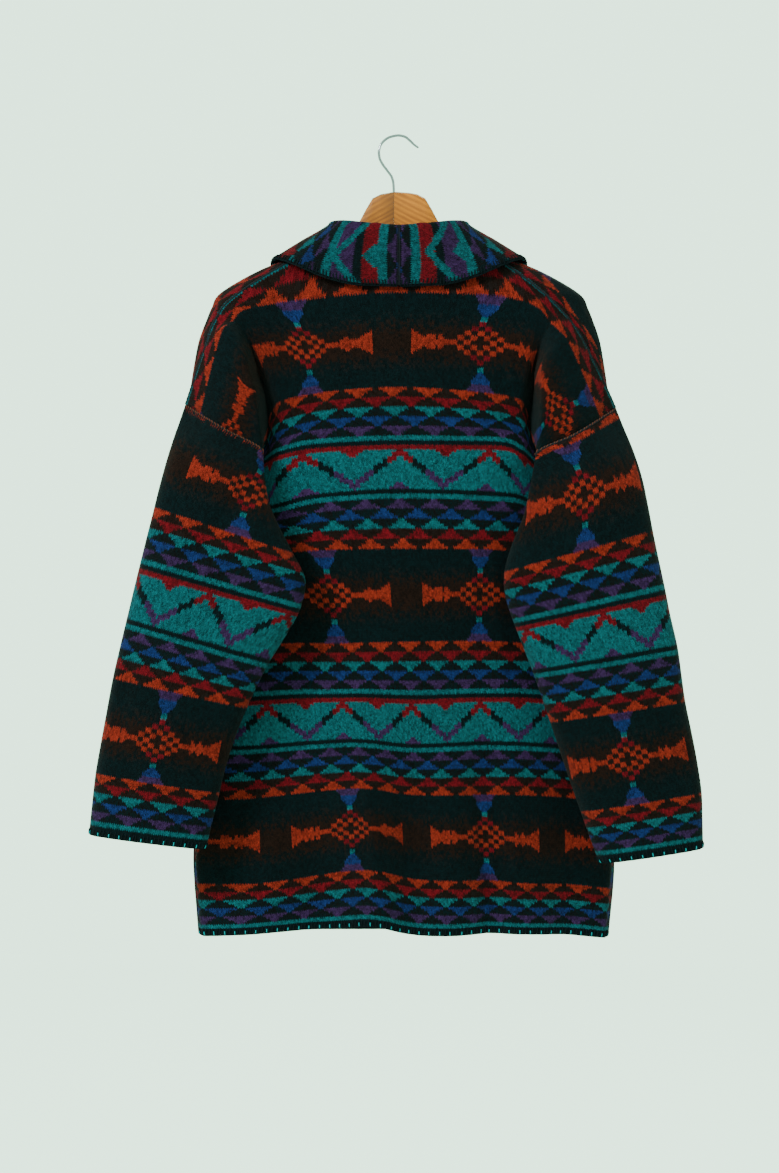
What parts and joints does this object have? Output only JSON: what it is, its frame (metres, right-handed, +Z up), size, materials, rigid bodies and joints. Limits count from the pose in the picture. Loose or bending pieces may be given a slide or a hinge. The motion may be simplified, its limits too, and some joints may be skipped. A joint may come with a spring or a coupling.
{
  "type": "cardigan on hanger",
  "caption": "Boxy knitted cardigan with drop shoulders, shawl collar and wide sleeves, hung back outwards on a wooden hanger with a wire hook.",
  "frame": {"origin": "underside of the hook's crown, where it sits on a rail or peg", "axes": "+Z up along the garment's height; -Y out of the garment's back, the side in the picture; +X to the right in the picture"},
  "size_m": [0.73, 0.16, 0.9723],
  "materials": {
    "knit": "felted wool jacquard knit, near-black ground with teal, orange, red, blue and purple bands",
    "knit_collar": "felted wool jacquard knit turned so that its stripes stand upright",
    "wood": "clear satin varnish",
    "chrome": "polished"
  },
  "bodies": {
    "root": {"back": "knit", "front_left": "knit", "front_right": "knit", "sleeve_left": "knit", "sleeve_right": "knit", "collar_left": "knit_collar", "collar_right": "knit_collar", "hanger_left": "wood", "hanger_right": "wood", "hook": "chrome"}
  },
  "joints": []
}
